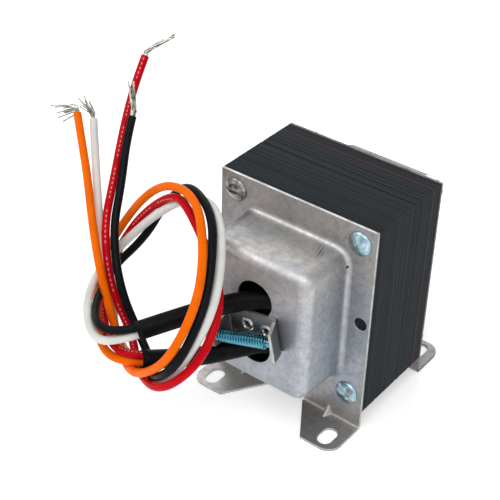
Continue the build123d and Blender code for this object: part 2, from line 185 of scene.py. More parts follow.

# Routes in millimetres from the foot of the core's front face: the solids' routes, with some points
# of the leads moved
UPPER_SLEEVE = [
    (12, -17.5, 47), (2.8, -17.8, 47.1), (-7.7, -28.6, 45.6), (-17.6, -40, 42), (-26.5, -51.5, 38.5),
]
LOWER_SLEEVE = [
    (12, -17.5, 28.2), (3, -17.8, 28.5), (-6.2, -28.1, 26), (-14.8, -37.5, 24.1), (-25.5, -51, 26.5),
]
BLACK_ROUTE = [
    (-29.5, -55.5, 38.8), (-38.5, -58.5, 38.5), (-50, -47, 35.9), (-62.9, -25.5, 32.3),
    (-55.6, -14.6, 43.6), (-49.5, -10.7, 58.5), (-36.5, -13.5, 74.5), (-18, -23, 75),
    (-7.5, -36, 66.5), (-1.5, -47.5, 57), (-2.5, -59.5, 41), (-15, -57.5, 27.5),
    (-29.2, -41.7, 16.9), (-38.7, -37.1, 21.2), (-47.6, -37, 37.5), (-59.1, -27.5, 51.5),
    (-65.4, -15.5, 62.6), (-70.5, -6.6, 74.6), (-73, -0.5, 80.5),
]
WHITE_ROUTE = [
    (-29.5, -55.5, 35.8), (-38, -60.5, 34), (-50.4, -51.5, 36.8), (-61.8, -33.1, 36.6),
    (-57.8, -20.4, 46), (-47.8, -14.7, 58.7), (-33, -13.5, 70.5), (-17, -20, 74),
    (-4.5, -35, 63.5), (1, -48, 53.5), (-4.6, -57, 36), (-17, -53.5, 21.5),
    (-27.4, -46.2, 16.1), (-45.8, -41.9, 17.7), (-52.9, -35.7, 33.6), (-62.4, -30.1, 49.1),
    (-71, -22, 60), (-82.5, -10.5, 69), (-88.5, -4.5, 75.5),
]
RED_ROUTE = [
    (-29, -55, 28.7), (-38.5, -52.5, 28.7), (-53.3, -40.6, 24.6), (-65.2, -22.4, 33.2),
    (-61.4, -12, 48.2), (-43.1, -14.6, 67.5), (-31.5, -19.5, 70), (-13, -28.5, 59),
    (-0.5, -39.5, 55.5), (3, -53.5, 42.5), (-8.5, -61.5, 28), (-27.8, -51, 20.3),
    (-42, -37, 19), (-51.5, -37.5, 36), (-61, -30, 53), (-69.3, -15.1, 63.2),
    (-76, -2, 76), (-81.5, 10.5, 86.5), (-83, 18, 94),
]
ORANGE_ROUTE = [
    (-29, -55, 25.7), (-38.5, -56.2, 26.7), (-49.7, -47, 28.6), (-64.5, -30.5, 34.4),
    (-66.7, -16.2, 43.7), (-55.5, -13.4, 61.9), (-41, -16.5, 73.5), (-25, -22, 76),
    (-10.5, -36.5, 69.5), (-2.5, -49.5, 60.5), (-5, -60, 43.5), (-17.5, -58, 29),
    (-29.4, -53.6, 21), (-43.1, -43.2, 20), (-53.1, -40.2, 41), (-63.8, -32.4, 54.3),
    (-76, -21.5, 64.5), (-86.5, -13, 71.5), (-94.5, -6.5, 76.5),
]

# Bare strands: stretch inside the lead and straight out of it in millimetres, how much chance moves each
# wire, how fast the fray opens, and the tips
STRAND_INSIDE = 2.0
STRAND_STRAIGHT = 3.0
STRAND_WANDER = 0.3
STRAND_RING = (0.75, 1.05)
STRAND_REACH = (0.88, 1.0)
FRAY_CURVE = 1.5
BLACK_TIP = (-76.5, 3, 93)
WHITE_TIP = (-96.5, -1.5, 80)
RED_TIP = (-75.5, 29, 101.5)
ORANGE_TIP = (-104.5, -8, 74)

# Places read from the solids
core_low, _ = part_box("front_e_laminations")
rear_low, rear_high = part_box("rear_e_laminations")
bell_low, bell_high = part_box("front_end_bell")
lead_datum = Vector((0, core_low.y, core_low.z))
draws = random.Random(SEED)


# Materials

def new_material(name, metallic, roughness, specular=0.5):
    """Material with a principled shader, its node tree and the shader."""
    material = bpy.data.materials.new(name)
    material.use_nodes = True
    tree = material.node_tree
    shader = tree.nodes["Principled BSDF"]
    shader.inputs["Metallic"].default_value = metallic
    shader.inputs["Roughness"].default_value = roughness
    shader.inputs["Specular IOR Level"].default_value = specular
    return material, tree, shader


def object_place(tree, stretch=(1, 1, 1), shift=(0, 0, 0)):
    """Object coordinates, moved and stretched for one pattern."""
    place = tree.nodes.new("ShaderNodeTexCoord")
    mapping = tree.nodes.new("ShaderNodeMapping")
    mapping.inputs["Location"].default_value = shift
    mapping.inputs["Scale"].default_value = stretch
    tree.links.new(place.outputs["Object"], mapping.inputs["Vector"])
    return mapping.outputs["Vector"]


def place_along(tree, axis):
    """Object coordinate along one axis."""
    place = tree.nodes.new("ShaderNodeTexCoord")
    parts = tree.nodes.new("ShaderNodeSeparateXYZ")
    tree.links.new(place.outputs["Object"], parts.inputs["Vector"])
    return parts.outputs[axis]


def noise(tree, vector, scale, detail=4.0, roughness=0.55, distortion=0.0):
    """Grey noise on a place, from 0 to 1."""
    texture = tree.nodes.new("ShaderNodeTexNoise")
    texture.inputs["Scale"].default_value = scale
    texture.inputs["Detail"].default_value = detail
    texture.inputs["Roughness"].default_value = roughness
    texture.inputs["Distortion"].default_value = distortion
    tree.links.new(vector, texture.inputs["Vector"])
    return texture.outputs["Fac"]


def ramp(tree, value, stops):
    """Colours along a value: stops are (position, colour)."""
    node = tree.nodes.new("ShaderNodeValToRGB")
    elements = node.color_ramp.elements
    while len(elements) < len(stops):
        elements.new(0.5)
    for element, (position, colour) in zip(elements, stops):
        element.position = position
        element.color = (*colour, 1)
    tree.links.new(value, node.inputs["Fac"])
    return node.outputs["Color"]


def spread(tree, value, low, high, new_low, new_high):
    """Value moved from one range to another and kept inside it."""
    node = tree.nodes.new("ShaderNodeMapRange")
    node.inputs["From Min"].default_value = low
    node.inputs["From Max"].default_value = high
    node.inputs["To Min"].default_value = new_low
    node.inputs["To Max"].default_value = new_high
    tree.links.new(value, node.inputs["Value"])
    return node.outputs["Result"]


def band(tree, value, rise_from, rise_to, fall_from, fall_to):
    """Mask that rises and falls again along a value."""
    rise = spread(tree, value, rise_from, rise_to, 0.0, 1.0)
    fall = spread(tree, value, fall_from, fall_to, 1.0, 0.0)
    return arithmetic(tree, "MINIMUM", rise, fall)


def arithmetic(tree, operation, first, second):
    """One arithmetic step on a socket and a socket or number."""
    node = tree.nodes.new("ShaderNodeMath")
    node.operation = operation
    for socket, value in zip(node.inputs, (first, second)):
        if isinstance(value, (int, float)):
            socket.default_value = value
        else:
            tree.links.new(value, socket)
    return node.outputs["Value"]


def mixed(tree, kind, amount, first, second):
    """Two colours combined, by an amount that is a socket or a number."""
    node = tree.nodes.new("ShaderNodeMix")
    node.data_type = "RGBA"
    node.blend_type = kind
    for name, value in (("Factor", amount), ("A", first), ("B", second)):
        socket = next(s for s in node.inputs if s.name == name and s.enabled)
        if isinstance(value, (int, float)):
            socket.default_value = value
        elif isinstance(value, tuple):
            socket.default_value = (*value, 1)
        else:
            tree.links.new(value, socket)
    return next(s for s in node.outputs if s.enabled)


def bumped(tree, shader, height, strength, distance):
    """Bump from a height socket on the shader's normal."""
    node = tree.nodes.new("ShaderNodeBump")
    node.inputs["Strength"].default_value = strength
    node.inputs["Distance"].default_value = distance
    tree.links.new(height, node.inputs["Height"])
    tree.links.new(node.outputs["Normal"], shader.inputs["Normal"])


def lamination_steel():
    """Dark varnished sheet edges: each sheet a little lighter than the next, browned at the back."""
    material, tree, shader = new_material("lamination_steel", 0.0, 0.6, 0.05)
    along = object_place(tree, (8, 1 / SHEET_PITCH, 8))
    sheet_tone = noise(tree, along, 1.0, 2.0, 0.6)
    base = ramp(tree, sheet_tone, [
        (0.30, (0.015, 0.018, 0.021)),
        (0.55, (0.026, 0.032, 0.037)),
        (0.75, (0.038, 0.044, 0.049)),
    ])
    stain = noise(tree, object_place(tree, (5, 1 / SHEET_PITCH, 5), shift=(0.3, 5.0, 0.1)), 1.0, 2.0, 0.6)
    browned = ramp(tree, stain, [(0.52, (0, 0, 0)), (0.66, (0.075, 0.022, 0.009))])
    rear = spread(tree, place_along(tree, "Y"), rear_low.y, rear_high.y, 0.0, 1.0)
    tree.links.new(mixed(tree, "ADD", rear, base, browned), shader.inputs["Base Color"])
    bumped(tree, shader, sheet_tone, 0.2, 0.05 * MM)
    return material


def pressed_sheet(name, cool, warm, scratched):
    """Dull plated sheet steel: clouded and speckled, cooler on the dome, browner above and below it,
    with a painted highlight along the dome's root and front edge."""
    material, tree, shader = new_material(name, 1.0, 0.4)
    cloud = noise(tree, object_place(tree), 65, 5.0, 0.6, 0.5)
    mottle = noise(tree, object_place(tree), 420, 5.0, 0.68, 0.3)
    grain = noise(tree, object_place(tree), 1900, 2.0, 0.6)
    drift = spread(tree, cloud, 0.3, 0.7, -BROWN_DRIFT, BROWN_DRIFT)
    level = arithmetic(tree, "ADD", place_along(tree, "Z"), drift)
    upper = spread(tree, level, bell_low.z + BROWN_UPPER[0], bell_high.z - BROWN_UPPER[1], 0.0, 1.0)
    lower = spread(tree, level, bell_low.z + BROWN_LOWER[0], bell_low.z + BROWN_LOWER[1], 1.0, 0.0)
    base = mixed(tree, "MIX", arithmetic(tree, "MAXIMUM", upper, lower), cool, warm)
    clouded = ramp(tree, cloud, [(0.28, (0.80, 0.79, 0.79)), (0.5, (0.90, 0.90, 0.90)), (0.72, (1, 1, 1))])
    mottled = ramp(tree, mottle, [
        (0.30, (0.70, 0.70, 0.72)),
        (0.50, (0.88, 0.88, 0.88)),
        (0.70, (1, 1, 1)),
    ])
    speckled = ramp(tree, grain, [(0.28, (0.80, 0.80, 0.80)), (0.50, (1, 1, 1))])
    for pattern in (clouded, mottled, speckled):
        base = mixed(tree, "MULTIPLY", 1.0, base, pattern)
    # Painted highlight: pale grey mixed in along the dome's root fillet and front edge, where a lamp's
    # reflection falls
    depth = place_along(tree, "Y")
    root = band(tree, depth, *(lead_datum.y + edge * MM for edge in ROOT_HIGHLIGHT_BAND))
    rim = band(tree, depth, *(bell_low.y + edge * MM for edge in RIM_HIGHLIGHT_BAND))
    painted_highlight = arithmetic(tree, "MULTIPLY", arithmetic(tree, "MAXIMUM", root, rim), PAINTED_HIGHLIGHT)
    base = mixed(tree, "MIX", arithmetic(tree, "MULTIPLY", painted_highlight, mottle), base, (0.95, 0.95, 0.95))
    if scratched:
        base = mixed(tree, "MIX", scratches(tree), base, (0.04, 0.04, 0.04))
    tree.links.new(base, shader.inputs["Base Color"])
    rough = arithmetic(
        tree, "ADD", spread(tree, cloud, 0.3, 0.7, 0.50, 0.42), spread(tree, mottle, 0.3, 0.7, 0.06, -0.05),
    )
    tree.links.new(rough, shader.inputs["Roughness"])
    relief = arithmetic(tree, "ADD", mottle, arithmetic(tree, "MULTIPLY", grain, 0.4))
    bumped(tree, shader, relief, 0.18, 0.12 * MM)
    return material


def scratches(tree):
    """Mask of three short scratches on the dome's top and a pit beside its root."""
    across = place_along(tree, "X")
    along = place_along(tree, "Y")
    slanted = arithmetic(tree, "ADD", across, arithmetic(tree, "MULTIPLY", along, SCRATCH_SLANT))
    above = arithmetic(tree, "GREATER_THAN", place_along(tree, "Z"), bell_high.z - SCRATCH_DOWN_TO)
    mask = None
    for centre, middle, reach, width in SCRATCHES:
        aside = arithmetic(tree, "ABSOLUTE", arithmetic(tree, "SUBTRACT", slanted, centre * MM), 0)
        away = arithmetic(tree, "ABSOLUTE", arithmetic(tree, "SUBTRACT", along, middle * MM), 0)
        taper = spread(tree, away, 0, reach * MM, width * MM, 0)
        line = arithmetic(tree, "LESS_THAN", aside, taper)
        mask = line if mask is None else arithmetic(tree, "MAXIMUM", mask, line)
    mask = arithmetic(tree, "MULTIPLY", arithmetic(tree, "MULTIPLY", mask, above), SCRATCH_STRENGTH)
    place = tree.nodes.new("ShaderNodeTexCoord")
    gap = tree.nodes.new("ShaderNodeVectorMath")
    gap.operation = "DISTANCE"
    gap.inputs[1].default_value = PIT
    tree.links.new(place.outputs["Object"], gap.inputs[0])
    pit = spread(tree, gap.outputs["Value"], PIT_INNER, PIT_OUTER, 1.0, 0.0)
    return arithmetic(tree, "MAXIMUM", mask, pit)


def zinc_plate(name, low, middle, high, roughness):
    """Zinc plate with clouding from dull to bright."""
    material, tree, shader = new_material(name, 1.0, roughness)
    cloud = noise(tree, object_place(tree), 260, 4.0, 0.55, 0.6)
    base = ramp(tree, cloud, [(0.34, low), (0.48, middle), (0.66, high)])
    tree.links.new(base, shader.inputs["Base Color"])
    rough = spread(tree, cloud, 0.3, 0.7, roughness + 0.06, roughness - 0.05)
    tree.links.new(rough, shader.inputs["Roughness"])
    bumped(tree, shader, cloud, 0.10, 0.04 * MM)
    return material


def two_toned(name, metallic, roughness, specular, pattern, stops):
    """Even finish that drifts between two tones: pattern is the noise's scale and, where asked, detail."""
    material, tree, shader = new_material(name, metallic, roughness, specular)
    drift = noise(tree, object_place(tree), *pattern)
    tree.links.new(ramp(tree, drift, stops), shader.inputs["Base Color"])
    return material


def lead_insulation(name, colour, dark_share, roughness, printed=None):
    """Glossy extruded insulation, faintly uneven, with a line of printed dashes where asked."""
    material, tree, shader = new_material(name, 0.0, roughness, 0.05)
    drift = noise(tree, object_place(tree), 160, 3.0, 0.5)
    darker = tuple(part * dark_share for part in colour)
    base = ramp(tree, drift, [(0.35, darker), (0.6, colour)])
    if printed:
        base = mixed(tree, "MIX", printed_dashes(tree, *printed), base, INK_COLOUR)
    tree.links.new(base, shader.inputs["Base Color"])
    rough = spread(tree, drift, 0.3, 0.7, roughness + 0.06, roughness - 0.04)
    tree.links.new(rough, shader.inputs["Roughness"])
    bumped(tree, shader, noise(tree, object_place(tree), 900, 2.0), 0.05, 0.03 * MM)
    return material


def repeats(tree, value, count, share):
    """Mask that is on for the first share of each of a number of equal steps."""
    step = arithmetic(tree, "FRACT", arithmetic(tree, "MULTIPLY", value, count), 0)
    return arithmetic(tree, "LESS_THAN", step, share)


def printed_dashes(tree, count, centre, half_width):
    """Mask of two lines of plain dashes along a lead, on opposite sides of it."""
    place = tree.nodes.new("ShaderNodeTexCoord")
    parts = tree.nodes.new("ShaderNodeSeparateXYZ")
    tree.links.new(place.outputs["UV"], parts.inputs["Vector"])
    along, around = parts.outputs["X"], parts.outputs["Y"]
    dash = repeats(tree, along, count, DASH_SHARE)
    run = repeats(tree, along, count / DASHES_IN_RUN, RUN_SHARE)
    half_turn = arithmetic(tree, "FRACT", arithmetic(tree, "MULTIPLY", around, 2), 0)
    aside = arithmetic(tree, "ABSOLUTE", arithmetic(tree, "SUBTRACT", half_turn, centre), 0)
    line = arithmetic(tree, "LESS_THAN", aside, half_width)
    print_mask = arithmetic(tree, "MULTIPLY", arithmetic(tree, "MULTIPLY", dash, run), line)
    return arithmetic(tree, "MULTIPLY", print_mask, INK_STRENGTH)


def satin_sleeving():
    """Satin black sleeving with a faint grain."""
    material, tree, shader = new_material("satin_sleeving", 0.0, 0.42, 0.06)
    drift = noise(tree, object_place(tree), 220, 4.0, 0.6)
    tree.links.new(
        ramp(tree, drift, [(0.35, (0.0025, 0.0025, 0.003)), (0.65, (0.006, 0.0065, 0.007))]),
        shader.inputs["Base Color"],
    )
    tree.links.new(spread(tree, drift, 0.3, 0.7, 0.50, 0.36), shader.inputs["Roughness"])
    bumped(tree, shader, noise(tree, object_place(tree), 1300, 3.0), 0.12, 0.04 * MM)
    return material


def enamelled_wire():
    """Copper wire laid side by side along the bobbin."""
    material, tree, shader = new_material("enamelled_wire", 0.8, 0.35)
    turns = tree.nodes.new("ShaderNodeTexWave")
    turns.bands_direction = "X"
    turns.inputs["Scale"].default_value = 300
    tree.links.new(object_place(tree), turns.inputs["Vector"])
    tree.links.new(
        ramp(tree, turns.outputs["Fac"], [(0.1, (0.20, 0.06, 0.02)), (0.7, (0.60, 0.24, 0.09))]),
        shader.inputs["Base Color"],
    )
    bumped(tree, shader, turns.outputs["Fac"], 0.6, 0.1 * MM)
    return material


# Mesh helpers

def finished_piece(name, bm, materials, nodes):
    """Object at the origin from a bmesh, riding on the body and standing for its solids."""
    mesh = bpy.data.meshes.new(name)
    bm.to_mesh(mesh)
    bm.free()
    return placed_piece(name, mesh, materials, nodes)


def placed_piece(name, data, materials, nodes):
    """Object at the origin from mesh or curve data, with its finishes, body and solids."""
    piece = bpy.data.objects.new(name, data)
    bpy.context.scene.collection.objects.link(piece)
    for material in materials:
        data.materials.append(material)
    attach(piece, BODY)
    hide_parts(*nodes)
    return piece


def joined_node(node):
    """Copy of a solid's mesh with its triangles welded and its flat areas made whole."""
    bm = bmesh.new()
    bm.from_mesh(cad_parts[node].data)
    bmesh.ops.remove_doubles(bm, verts=bm.verts, dist=WELD)
    bmesh.ops.dissolve_limit(bm, angle_limit=FLAT_ANGLE, verts=bm.verts, edges=bm.edges)
    return bm


def broken_edges(bm, width):
    """Takes the sharpness off every hard edge, and gives the new faces."""
    hard = [edge for edge in bm.edges if edge.is_manifold and edge.calc_face_angle(0) > SHARP_ANGLE]
    rounded = bmesh.ops.bevel(
        bm, geom=hard, offset=width, offset_type="OFFSET", segments=EDGE_SEGMENTS, profile=0.5,
        affect="EDGES", clamp_overlap=True, material=-1,
    )
    return rounded["faces"]


def smooth_faces(bm):
    """Smooth shading on every face."""
    for face in bm.faces:
        face.smooth = True


def even_shading(piece):
    """Keeps flat faces flat beside their rounded edges."""
    normals = piece.modifiers.new("even_shading", "WEIGHTED_NORMAL")
    normals.keep_sharp = True
    normals.weight = FLAT_WEIGHT


def is_rim(face, sheet):
    """Whether a face is a cut edge of the sheet: as wide as the sheet, between two long hard edges."""
    longest = max(edge.calc_length() for edge in face.edges)
    hard = [
        edge for edge in face.edges
        if edge.is_manifold and edge.calc_length() > longest / 2 and edge.calc_face_angle(0) > SHARP_ANGLE
    ]
    width = face.calc_area() / longest
    return len(hard) > 1 and RIM_NARROWEST * sheet < width < RIM_WIDEST * sheet


def dressed_node(node, materials, edge, sheet=0):
    """Solid's own form with broken edges, smooth curves and its finish, with the last one on cut edges."""
    bm = joined_node(node)
    for face in bm.faces:
        if sheet and is_rim(face, sheet):
            face.material_index = len(materials) - 1
    for face in broken_edges(bm, edge):
        face.material_index = len(materials) - 1
    smooth_faces(bm)
    piece = finished_piece(node + "_dressed", bm, materials, [node])
    even_shading(piece)


# Core

def e_outline(outer, ends, low, high, beside=0, above=0):
    """E sheet seen from the front: a yoke at one side, and three legs to the other, with its outer
    edges drawn in where asked."""
    inner = outer + math.copysign(YOKE_WIDTH, ends - outer)
    edge = outer + math.copysign(beside, ends - outer)
    middle = (low + high) / 2
    window_edges = (
        middle - TONGUE_HEIGHT / 2 - WINDOW_HEIGHT,
        middle - TONGUE_HEIGHT / 2,
        middle + TONGUE_HEIGHT / 2,
        middle + TONGUE_HEIGHT / 2 + WINDOW_HEIGHT,
    )
    outline = [(edge, low + above), (ends, low + above)]
    for number, level in enumerate(window_edges):
        steps = [(ends, level), (inner, level)]
        outline += steps if number % 2 == 0 else steps[::-1]
    return outline + [(ends, high - above), (edge, high - above)]


def i_outline(outer, ends, low, high, beside=0, above=0):
    """I sheet seen from the front, with its outer edges drawn in where asked."""
    edge = outer + math.copysign(beside, ends - outer)
    return [(edge, low + above), (ends, low + above), (ends, high - above), (edge, high - above)]


def plate(bm, outline, near, far, across, upward):
    """Flat plate between two depths, from an outline that is moved a little sideways and up."""
    corners = [bm.verts.new((x + across, near, z + upward)) for x, z in outline]
    grown = bmesh.ops.extrude_face_region(bm, geom=[bm.faces.new(corners)])
    moved = [part for part in grown["geom"] if isinstance(part, bmesh.types.BMVert)]
    bmesh.ops.translate(bm, verts=moved, vec=(0, far - near, 0))


def sheet_spans(depth, wide_line):
    """Start, end and small shifts of each sheet from the outer face inwards, with air after each pair,
    and one wider line where asked."""
    count = round(depth / SHEET_PITCH)
    pitch = depth / count
    spans = []
    for number in range(count):
        share = number / count
        pair_air = PAIR_AIR + (PAIR_AIR_BACK - PAIR_AIR) * share
        air = draws.uniform(*AIR_SPREAD) * pair_air if number % 2 else SHEET_AIR
        if wide_line and number == round(count * GROUP_LINE):
            air = GROUP_AIR
        across = draws.gauss(0, ACROSS_SPREAD) * SHEET_SHIFT
        upward = -abs(draws.gauss(0, UPWARD_SPREAD)) * SHEET_SHIFT
        spans.append((number * pitch, (number + 1) * pitch - air, across, upward))
    return spans


def lamination_sheets(node, outline, sides, spans, from_front, material):
    """Thin plates inside their solid's depth, standing out from a block that closes the grooves."""
    low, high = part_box(node)
    bm = bmesh.new()
    for start, end, across, upward in spans:
        near = low.y + start if from_front else high.y - end
        far = low.y + end if from_front else high.y - start
        plate(bm, outline(*sides), near, far, across, upward)
    block = outline(*sides, GROOVE_BESIDE, GROOVE_ABOVE)
    plate(bm, block, low.y + SHEET_AIR, high.y - SHEET_AIR, 0, 0)
    bmesh.ops.recalc_face_normals(bm, faces=bm.faces)
    finished_piece(node + "_sheets", bm, [material], [node])


def laminated_core(material):
    """Both groups of E and I sheets, turned end for end."""
    for group in ("front", "rear"):
        low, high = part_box(group + "_e_laminations")
        bar_low, bar_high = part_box(group + "_i_laminations")
        front = group == "front"
        legs = (low.x, high.x, low.z, high.z) if front else (high.x, low.x, low.z, high.z)
        bar = (bar_high.x, bar_low.x, low.z, high.z) if front else (bar_low.x, bar_high.x, low.z, high.z)
        spans = sheet_spans(high.y - low.y, front)
        lamination_sheets(group + "_e_laminations", e_outline, legs, spans, front, material)
        lamination_sheets(group + "_i_laminations", i_outline, bar, spans, front, material)


# Turned pieces

def profile_edges(bm, profile, place):
    """Open line of edges from radius and height pairs, put in its place."""
    corners = [bm.verts.new(place @ Vector((radius, 0, height))) for radius, height in profile]
    return corners + [bm.edges.new(pair) for pair in zip(corners, corners[1:])]


def turned(bm, profile, place):
    """Profile turned once about its axis."""
    bmesh.ops.spin(
        bm, geom=profile_edges(bm, profile, place), cent=place.translation, axis=place.col[2].to_3d(),
        angle=2 * math.pi, steps=TURN_STEPS, use_merge=True,
    )


def helix(bm, profile, end, place):
    """One thread ridge carried round and along its axis until it reaches the end."""
    steps = int((end - profile[-1][1]) / THREAD_PITCH * TURN_STEPS)
    axis = place.col[2].to_3d()
    bmesh.ops.spin(
        bm, geom=profile_edges(bm, profile, place), cent=place.translation, axis=axis,
        dvec=axis * THREAD_PITCH / TURN_STEPS, angle=2 * math.pi * steps / TURN_STEPS, steps=steps,
    )


def turned_piece(name, bm, material, node):
    """Turned forms as one piece, smooth but for its corners."""
    bmesh.ops.remove_doubles(bm, verts=bm.verts, dist=WELD)
    bmesh.ops.recalc_face_normals(bm, faces=bm.faces)
    smooth_faces(bm)
    for edge in bm.edges:
        edge.smooth = not edge.is_manifold or edge.calc_face_angle(0) < SHARP_ANGLE
    finished_piece(name, bm, [material], [node])


def domed_bolts(material):
    """Three bolts with smooth domed heads, through the core to the nuts."""
    crown = []
    for share in CROWN_SHARES:
        radius = BOLT_HEAD_RADIUS * share
        crown.append((radius, BOLT_HEAD_HEIGHT - BOLT_CROWN + math.sqrt(BOLT_CROWN ** 2 - radius ** 2)))
    profile = [(0, -BOLT_LENGTH), (BOLT_RADIUS, -BOLT_LENGTH), (BOLT_RADIUS, 0), (BOLT_HEAD_RADIUS, 0)]
    profile += [(BOLT_HEAD_RADIUS, BOLT_HEAD_EDGE)] + crown
    bm = bmesh.new()
    for across, level in BOLT_SPOTS:
        seat = Vector((across * MM, lead_datum.y - BOLT_SEAT, level * MM))
        turned(bm, profile, Matrix.Translation(seat) @ FORWARD)
    turned_piece("domed_bolts_turned", bm, material, "domed_bolts")


def clamp_eyelets(material):
    """Two tubular eyelets with rims rolled over the clamp."""
    inside = (EYELET_RADIUS - EYELET_BORE) / 2
    profile = [
        (EYELET_BORE, -EYELET_GRIP),
        (EYELET_BORE, EYELET_RIM * 0.4),
        (EYELET_BORE + inside * 0.3, EYELET_RIM * 0.85),
        (EYELET_BORE + inside * 0.9, EYELET_RIM),
        (EYELET_RADIUS - inside * 0.4, EYELET_RIM * 0.8),
        (EYELET_RADIUS, EYELET_RIM * 0.3),
        (EYELET_RADIUS, 0),
        (EYELET_BORE + EYELET_WALL, 0),
        (EYELET_BORE + EYELET_WALL, -EYELET_GRIP),
        (EYELET_BORE, -EYELET_GRIP),
    ]
    bm = bmesh.new()
    for across, level in EYELET_SPOTS:
        seat = Vector((across * MM, EYELET_FACE, level * MM))
        turned(bm, profile, Matrix.Translation(seat) @ FORWARD)
    turned_piece("clamp_eyelets_rolled", bm, material, "clamp_eyelets")


def clamp_screw(material):
    """Pan head, plain core and narrow point turned about one axis, with a helical thread."""
    thread_start = SCREW_SEAT + SCREW_RELIEF
    thread_end = SCREW_END - SCREW_POINT_LENGTH
    profile = [
        (0, SCREW_SEAT - SCREW_HEAD_HEIGHT),
        (SCREW_HEAD_RADIUS * 0.62, SCREW_SEAT - SCREW_HEAD_HEIGHT),
        (SCREW_HEAD_RADIUS * 0.90, SCREW_SEAT - SCREW_HEAD_HEIGHT * 0.82),
        (SCREW_HEAD_RADIUS, SCREW_SEAT - SCREW_HEAD_HEIGHT * 0.45),
        (SCREW_HEAD_RADIUS, SCREW_SEAT),
        (THREAD_ROOT, SCREW_SEAT),
        (THREAD_ROOT, thread_end),
        (SCREW_POINT_RADIUS, thread_end + SCREW_RELIEF),
        (SCREW_POINT_RADIUS, SCREW_END - SCREW_CHAMFER),
        (SCREW_POINT_RADIUS * 0.7, SCREW_END),
        (0, SCREW_END),
    ]
    turn = Vector((0, 0, 1)).rotation_difference(SCREW_AXIS).to_matrix().to_4x4()
    place = Matrix.Translation(SCREW_MIDDLE) @ turn
    bm = bmesh.new()
    turned(bm, profile, place)
    crest = [(THREAD_RADIUS, share) for share in THREAD_CREST]
    ridge = [(THREAD_ROOT, 0), *crest, (THREAD_ROOT, 1)]
    helix(bm, [(radius, thread_start + share * THREAD_PITCH) for radius, share in ridge], thread_end, place)
    turned_piece("clamp_screw_threaded", bm, material, "clamp_screw")


# Leads

def route_points(route):
    """Route in metres in the object's frame."""
    return [Vector(point) * MM + lead_datum for point in route]


def route_curve(name, points, radius, sides):
    """Curve of one smooth spline that a route's points control."""
    curve = bpy.data.curves.new(name, "CURVE")
    curve.dimensions = "3D"
    curve.resolution_u = CURVE_STEPS
    curve.bevel_depth = radius
    curve.bevel_resolution = sides
    spline = curve.splines.new("NURBS")
    spline.points.add(len(points) - 1)
    for knot, point in zip(spline.points, points):
        knot.co = (*point, 1)
    spline.order_u = 3
    spline.use_endpoint_u = True
    return curve


def curve_mesh(curve):
    """Mesh of a curve, which is then removed."""
    carrier = bpy.data.objects.new(curve.name, curve)
    bpy.context.scene.collection.objects.link(carrier)
    bpy.context.view_layer.update()
    mesh = bpy.data.meshes.new_from_object(carrier)
    bpy.data.objects.remove(carrier)
    bpy.data.curves.remove(curve)
    return mesh


def curve_line(points):
    """Points along the smooth line that a route's points control."""
    mesh = curve_mesh(route_curve("line", points, 0, 0))
    line = [vertex.co.copy() for vertex in mesh.vertices]
    bpy.data.meshes.remove(mesh)
    return line


def lead_sleeve(name, node, route, material):
    """Open-ended tube of sleeving along its route."""
    mesh = curve_mesh(route_curve(name, route_points(route), SLEEVE_RADIUS, SLEEVE_SIDES))
    mesh.shade_smooth()
    piece = placed_piece(name, mesh, [material], [node])
    wall = piece.modifiers.new("wall", "SOLIDIFY")
    wall.thickness = SLEEVE_WALL
    wall.offset = -1
    return piece


def bare_strands(name, node, end, before, tip, bundle, material):
    """Bundle of fine twisted wires that opens out towards its tip."""
    count, radius, ring, twist, fray, loose_from = bundle
    along = (end - before).normalized()
    line = curve_line([
        end - along * STRAND_INSIDE * MM, end, end + along * STRAND_STRAIGHT * MM, tip,
    ])
    curve = bpy.data.curves.new(name, "CURVE")
    curve.dimensions = "3D"
    curve.bevel_depth = radius * MM
    curve.bevel_resolution = STRAND_SIDES
    curve.use_fill_caps = True
    side = along.orthogonal().normalized()
    other = along.cross(side)
    for number in range(count):
        start = 2 * math.pi * number / count + draws.uniform(-STRAND_WANDER, STRAND_WANDER)
        out = ring * draws.uniform(*STRAND_RING)
        reach = draws.uniform(*STRAND_REACH)
        lean = Vector((draws.gauss(0, 1), draws.gauss(0, 1), draws.gauss(0, 1))) * fray * MM
        points = line[:max(3, int(len(line) * reach))]
        spline = curve.splines.new("POLY")
        spline.points.add(len(points) - 1)
        for step, (knot, point) in enumerate(zip(spline.points, points)):
            share = step / (len(line) - 1)
            angle = start + 2 * math.pi * twist * share
            circle = (side * math.cos(angle) + other * math.sin(angle)) * out * MM
            loose = max(0, (share - loose_from) / (1 - loose_from))
            knot.co = (*(point + circle + lean * loose ** FRAY_CURVE), 1)
    mesh = curve_mesh(curve)
    mesh.shade_smooth()
    return placed_piece(name, mesh, [material], [node])


def lead(colour, sleeve_route, offset, free_route, material, strand_finish):
    """One insulated lead with its bare strands."""
    inside = [(x, y, z + offset) for x, y, z in sleeve_route[:-1]]
    points = route_points(inside + free_route)
    curve = route_curve(colour + "_insulated_lead", points, LEAD_RADIUS, LEAD_SIDES)
    curve.use_fill_caps = True
    piece = placed_piece(curve.name, curve, [material], [colour + "_lead"])
    tip, bundle, tinned = strand_finish
    strands = bare_strands(
        colour + "_bare_strands", colour + "_strands", points[-1], points[-2],
        route_points([tip])[0], bundle, tinned,
    )
    line = curve_line(points)


# Studio

def studio():
    """White surround, pale floor, soft lamps and the photograph's camera."""
    world = bpy.data.worlds.new("studio")
    bpy.context.scene.world = world
    world.use_nodes = True
    tree = world.node_tree
    rays = tree.nodes.new("ShaderNodeLightPath")
    seen = arithmetic(tree, "MAXIMUM", rays.outputs["Is Camera Ray"], rays.outputs["Is Glossy Ray"])
    seen = arithmetic(tree, "MAXIMUM", seen, rays.outputs["Is Transmission Ray"])
    background = tree.nodes["Background"]
    background.inputs["Color"].default_value = (1, 1, 1, 1)
    tree.links.new(spread(tree, seen, 0, 1, SURROUND_LIGHT, 1.0), background.inputs["Strength"])
    floor()
    for lamp in LAMPS:
        soft_lamp(*lamp)
    camera()


